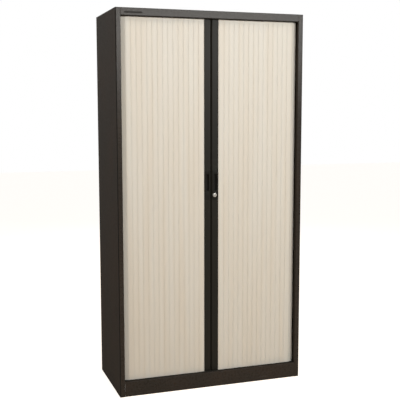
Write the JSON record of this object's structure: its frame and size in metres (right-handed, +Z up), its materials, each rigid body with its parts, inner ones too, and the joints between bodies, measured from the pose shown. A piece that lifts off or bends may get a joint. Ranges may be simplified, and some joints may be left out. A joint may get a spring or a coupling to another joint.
{
  "type": "tambour cupboard",
  "caption": "Tall free-standing steel cupboard closed by two side-opening tambour leaves of vertical slats, with finger pulls and a lock on the meeting stiles and shelves inside.",
  "frame": {"origin": "centre of the footprint, on the floor", "axes": "+X to the right of someone who faces the front, +Y into the cupboard towards its back, +Z up"},
  "size_m": [1.016, 0.47, 1.981],
  "materials": {
    "carcass_paint": "satin",
    "curtain_cream": "satin",
    "stile_black": "satin",
    "pull_plastic": "matt",
    "track_plastic": "matt",
    "lock_chrome": "polished",
    "zinc_steel": "satin",
    "foot_plastic": "matt"
  },
  "bodies": {
    "carcass": {"left_side_panel": "carcass_paint", "right_side_panel": "carcass_paint", "top_panel": "carcass_paint", "base_pan": "carcass_paint", "back_panel": "carcass_paint", "left_liner": "carcass_paint", "right_liner": "carcass_paint", "liner_screws": "zinc_steel", "bottom_track": "track_plastic", "top_track": "track_plastic", "shelf_clips": "zinc_steel", "shelf_1": "carcass_paint", "shelf_2": "carcass_paint", "shelf_3": "carcass_paint", "shelf_4": "carcass_paint"},
    "left_leaf": {"left_stile": "stile_black", "left_finger_pull": "pull_plastic"},
    "left_slat_01": {"left_slat_01": "curtain_cream"},
    "left_slat_02": {"left_slat_02": "curtain_cream"},
    "left_slat_03": {"left_slat_03": "curtain_cream"},
    "left_slat_04": {"left_slat_04": "curtain_cream"},
    "left_slat_05": {"left_slat_05": "curtain_cream"},
    "left_slat_06": {"left_slat_06": "curtain_cream"},
    "left_slat_07": {"left_slat_07": "curtain_cream"},
    "left_slat_08": {"left_slat_08": "curtain_cream"},
    "left_slat_09": {"left_slat_09": "curtain_cream"},
    "left_slat_10": {"left_slat_10": "curtain_cream"},
    "left_slat_11": {"left_slat_11": "curtain_cream"},
    "left_slat_12": {"left_slat_12": "curtain_cream"},
    "left_slat_13": {"left_slat_13": "curtain_cream"},
    "left_slat_14": {"left_slat_14": "curtain_cream"},
    "left_slat_15": {"left_slat_15": "curtain_cream"},
    "left_slat_16": {"left_slat_16": "curtain_cream"},
    "left_slat_17": {"left_slat_17": "curtain_cream"},
    "right_leaf": {"right_stile": "stile_black", "right_finger_pull": "pull_plastic", "lock_housing": "lock_chrome"},
    "right_slat_01": {"right_slat_01": "curtain_cream"},
    "right_slat_02": {"right_slat_02": "curtain_cream"},
    "right_slat_03": {"right_slat_03": "curtain_cream"},
    "right_slat_04": {"right_slat_04": "curtain_cream"},
    "right_slat_05": {"right_slat_05": "curtain_cream"},
    "right_slat_06": {"right_slat_06": "curtain_cream"},
    "right_slat_07": {"right_slat_07": "curtain_cream"},
    "right_slat_08": {"right_slat_08": "curtain_cream"},
    "right_slat_09": {"right_slat_09": "curtain_cream"},
    "right_slat_10": {"right_slat_10": "curtain_cream"},
    "right_slat_11": {"right_slat_11": "curtain_cream"},
    "right_slat_12": {"right_slat_12": "curtain_cream"},
    "right_slat_13": {"right_slat_13": "curtain_cream"},
    "right_slat_14": {"right_slat_14": "curtain_cream"},
    "right_slat_15": {"right_slat_15": "curtain_cream"},
    "right_slat_16": {"right_slat_16": "curtain_cream"},
    "right_slat_17": {"right_slat_17": "curtain_cream"},
    "lock": {"lock_plug": "lock_chrome", "lock_hook": "zinc_steel"},
    "foot_front_left": {"foot_front_left": "foot_plastic"},
    "foot_front_right": {"foot_front_right": "foot_plastic"},
    "foot_rear_left": {"foot_rear_left": "foot_plastic"},
    "foot_rear_right": {"foot_rear_right": "foot_plastic"}
  },
  "joints": [
    {"name": "left_leaf_slide", "type": "slide", "parent": "carcass", "child": "left_leaf", "axis": [-1, 0, 0], "range_m": [0, 0.395], "deforming": ["left_slat_01", "left_slat_02", "left_slat_03", "left_slat_04", "left_slat_05", "left_slat_06", "left_slat_07", "left_slat_08", "left_slat_09", "left_slat_10", "left_slat_11", "left_slat_12", "left_slat_13", "left_slat_14", "left_slat_15", "left_slat_16", "left_slat_17"]},
    {"name": "left_slat_01_slide", "type": "slide", "parent": "carcass", "child": "left_slat_01", "axis": [-1, 0, 0], "range_m": [0, 0.395]},
    {"name": "left_slat_02_slide", "type": "slide", "parent": "carcass", "child": "left_slat_02", "axis": [-1, 0, 0], "range_m": [0, 0.395]},
    {"name": "left_slat_03_slide", "type": "slide", "parent": "carcass", "child": "left_slat_03", "axis": [-1, 0, 0], "range_m": [0, 0.3795]},
    {"name": "left_slat_04_slide", "type": "slide", "parent": "carcass", "child": "left_slat_04", "axis": [-1, 0, 0], "range_m": [0, 0.352]},
    {"name": "left_slat_05_slide", "type": "slide", "parent": "carcass", "child": "left_slat_05", "axis": [-1, 0, 0], "range_m": [0, 0.3245]},
    {"name": "left_slat_06_slide", "type": "slide", "parent": "carcass", "child": "left_slat_06", "axis": [-1, 0, 0], "range_m": [0, 0.297]},
    {"name": "left_slat_07_slide", "type": "slide", "parent": "carcass", "child": "left_slat_07", "axis": [-1, 0, 0], "range_m": [0, 0.2695]},
    {"name": "left_slat_08_slide", "type": "slide", "parent": "carcass", "child": "left_slat_08", "axis": [-1, 0, 0], "range_m": [0, 0.242]},
    {"name": "left_slat_09_slide", "type": "slide", "parent": "carcass", "child": "left_slat_09", "axis": [-1, 0, 0], "range_m": [0, 0.2145]},
    {"name": "left_slat_10_slide", "type": "slide", "parent": "carcass", "child": "left_slat_10", "axis": [-1, 0, 0], "range_m": [0, 0.187]},
    {"name": "left_slat_11_slide", "type": "slide", "parent": "carcass", "child": "left_slat_11", "axis": [-1, 0, 0], "range_m": [0, 0.1595]},
    {"name": "left_slat_12_slide", "type": "slide", "parent": "carcass", "child": "left_slat_12", "axis": [-1, 0, 0], "range_m": [0, 0.132]},
    {"name": "left_slat_13_slide", "type": "slide", "parent": "carcass", "child": "left_slat_13", "axis": [-1, 0, 0], "range_m": [0, 0.1045]},
    {"name": "left_slat_14_slide", "type": "slide", "parent": "carcass", "child": "left_slat_14", "axis": [-1, 0, 0], "range_m": [0, 0.077]},
    {"name": "left_slat_15_slide", "type": "slide", "parent": "carcass", "child": "left_slat_15", "axis": [-1, 0, 0], "range_m": [0, 0.0495]},
    {"name": "left_slat_16_slide", "type": "slide", "parent": "carcass", "child": "left_slat_16", "axis": [-1, 0, 0], "range_m": [0, 0.02308]},
    {"name": "left_slat_17_slide", "type": "slide", "parent": "carcass", "child": "left_slat_17", "axis": [-1, 0, 0], "range_m": [0, 0.00376]},
    {"name": "right_leaf_slide", "type": "slide", "parent": "carcass", "child": "right_leaf", "axis": [1, 0, 0], "range_m": [0, 0.395], "deforming": ["right_slat_01", "right_slat_02", "right_slat_03", "right_slat_04", "right_slat_05", "right_slat_06", "right_slat_07", "right_slat_08", "right_slat_09", "right_slat_10", "right_slat_11", "right_slat_12", "right_slat_13", "right_slat_14", "right_slat_15", "right_slat_16", "right_slat_17"]},
    {"name": "right_slat_01_slide", "type": "slide", "parent": "carcass", "child": "right_slat_01", "axis": [1, 0, 0], "range_m": [0, 0.395]},
    {"name": "right_slat_02_slide", "type": "slide", "parent": "carcass", "child": "right_slat_02", "axis": [1, 0, 0], "range_m": [0, 0.395]},
    {"name": "right_slat_03_slide", "type": "slide", "parent": "carcass", "child": "right_slat_03", "axis": [1, 0, 0], "range_m": [0, 0.3795]},
    {"name": "right_slat_04_slide", "type": "slide", "parent": "carcass", "child": "right_slat_04", "axis": [1, 0, 0], "range_m": [0, 0.352]},
    {"name": "right_slat_05_slide", "type": "slide", "parent": "carcass", "child": "right_slat_05", "axis": [1, 0, 0], "range_m": [0, 0.3245]},
    {"name": "right_slat_06_slide", "type": "slide", "parent": "carcass", "child": "right_slat_06", "axis": [1, 0, 0], "range_m": [0, 0.297]},
    {"name": "right_slat_07_slide", "type": "slide", "parent": "carcass", "child": "right_slat_07", "axis": [1, 0, 0], "range_m": [0, 0.2695]},
    {"name": "right_slat_08_slide", "type": "slide", "parent": "carcass", "child": "right_slat_08", "axis": [1, 0, 0], "range_m": [0, 0.242]},
    {"name": "right_slat_09_slide", "type": "slide", "parent": "carcass", "child": "right_slat_09", "axis": [1, 0, 0], "range_m": [0, 0.2145]},
    {"name": "right_slat_10_slide", "type": "slide", "parent": "carcass", "child": "right_slat_10", "axis": [1, 0, 0], "range_m": [0, 0.187]},
    {"name": "right_slat_11_slide", "type": "slide", "parent": "carcass", "child": "right_slat_11", "axis": [1, 0, 0], "range_m": [0, 0.1595]},
    {"name": "right_slat_12_slide", "type": "slide", "parent": "carcass", "child": "right_slat_12", "axis": [1, 0, 0], "range_m": [0, 0.132]},
    {"name": "right_slat_13_slide", "type": "slide", "parent": "carcass", "child": "right_slat_13", "axis": [1, 0, 0], "range_m": [0, 0.1045]},
    {"name": "right_slat_14_slide", "type": "slide", "parent": "carcass", "child": "right_slat_14", "axis": [1, 0, 0], "range_m": [0, 0.077]},
    {"name": "right_slat_15_slide", "type": "slide", "parent": "carcass", "child": "right_slat_15", "axis": [1, 0, 0], "range_m": [0, 0.0495]},
    {"name": "right_slat_16_slide", "type": "slide", "parent": "carcass", "child": "right_slat_16", "axis": [1, 0, 0], "range_m": [0, 0.02308]},
    {"name": "right_slat_17_slide", "type": "slide", "parent": "carcass", "child": "right_slat_17", "axis": [1, 0, 0], "range_m": [0, 0.00376]},
    {"name": "lock_turn", "type": "hinge", "parent": "right_leaf", "child": "lock", "pos_m": [0.019, -0.21, 1.034], "axis": [0, -1, 0], "range_deg": [0, 90]},
    {"name": "foot_front_left_screw", "type": "slide", "parent": "carcass", "child": "foot_front_left", "axis": [0, 0, -1], "range_m": [0, 0.02]},
    {"name": "foot_front_right_screw", "type": "slide", "parent": "carcass", "child": "foot_front_right", "axis": [0, 0, -1], "range_m": [0, 0.02]},
    {"name": "foot_rear_left_screw", "type": "slide", "parent": "carcass", "child": "foot_rear_left", "axis": [0, 0, -1], "range_m": [0, 0.02]},
    {"name": "foot_rear_right_screw", "type": "slide", "parent": "carcass", "child": "foot_rear_right", "axis": [0, 0, -1], "range_m": [0, 0.02]}
  ],
  "couplings": [
    {"joint": "left_slat_01_slide", "follows": "left_leaf_slide", "ratio": 1},
    {"joint": "left_slat_02_slide", "follows": "left_leaf_slide", "ratio": 1},
    {"joint": "left_slat_03_slide", "follows": "left_leaf_slide", "ratio": 0.96076},
    {"joint": "left_slat_04_slide", "follows": "left_leaf_slide", "ratio": 0.89114},
    {"joint": "left_slat_05_slide", "follows": "left_leaf_slide", "ratio": 0.82152},
    {"joint": "left_slat_06_slide", "follows": "left_leaf_slide", "ratio": 0.7519},
    {"joint": "left_slat_07_slide", "follows": "left_leaf_slide", "ratio": 0.68228},
    {"joint": "left_slat_08_slide", "follows": "left_leaf_slide", "ratio": 0.61266},
    {"joint": "left_slat_09_slide", "follows": "left_leaf_slide", "ratio": 0.54304},
    {"joint": "left_slat_10_slide", "follows": "left_leaf_slide", "ratio": 0.47342},
    {"joint": "left_slat_11_slide", "follows": "left_leaf_slide", "ratio": 0.4038},
    {"joint": "left_slat_12_slide", "follows": "left_leaf_slide", "ratio": 0.33418},
    {"joint": "left_slat_13_slide", "follows": "left_leaf_slide", "ratio": 0.26456},
    {"joint": "left_slat_14_slide", "follows": "left_leaf_slide", "ratio": 0.19494},
    {"joint": "left_slat_15_slide", "follows": "left_leaf_slide", "ratio": 0.12532},
    {"joint": "left_slat_16_slide", "follows": "left_leaf_slide", "ratio": 0.058432},
    {"joint": "left_slat_17_slide", "follows": "left_leaf_slide", "ratio": 0.009525},
    {"joint": "right_slat_01_slide", "follows": "right_leaf_slide", "ratio": 1},
    {"joint": "right_slat_02_slide", "follows": "right_leaf_slide", "ratio": 1},
    {"joint": "right_slat_03_slide", "follows": "right_leaf_slide", "ratio": 0.96076},
    {"joint": "right_slat_04_slide", "follows": "right_leaf_slide", "ratio": 0.89114},
    {"joint": "right_slat_05_slide", "follows": "right_leaf_slide", "ratio": 0.82152},
    {"joint": "right_slat_06_slide", "follows": "right_leaf_slide", "ratio": 0.7519},
    {"joint": "right_slat_07_slide", "follows": "right_leaf_slide", "ratio": 0.68228},
    {"joint": "right_slat_08_slide", "follows": "right_leaf_slide", "ratio": 0.61266},
    {"joint": "right_slat_09_slide", "follows": "right_leaf_slide", "ratio": 0.54304},
    {"joint": "right_slat_10_slide", "follows": "right_leaf_slide", "ratio": 0.47342},
    {"joint": "right_slat_11_slide", "follows": "right_leaf_slide", "ratio": 0.4038},
    {"joint": "right_slat_12_slide", "follows": "right_leaf_slide", "ratio": 0.33418},
    {"joint": "right_slat_13_slide", "follows": "right_leaf_slide", "ratio": 0.26456},
    {"joint": "right_slat_14_slide", "follows": "right_leaf_slide", "ratio": 0.19494},
    {"joint": "right_slat_15_slide", "follows": "right_leaf_slide", "ratio": 0.12532},
    {"joint": "right_slat_16_slide", "follows": "right_leaf_slide", "ratio": 0.058432},
    {"joint": "right_slat_17_slide", "follows": "right_leaf_slide", "ratio": 0.009525}
  ]
}
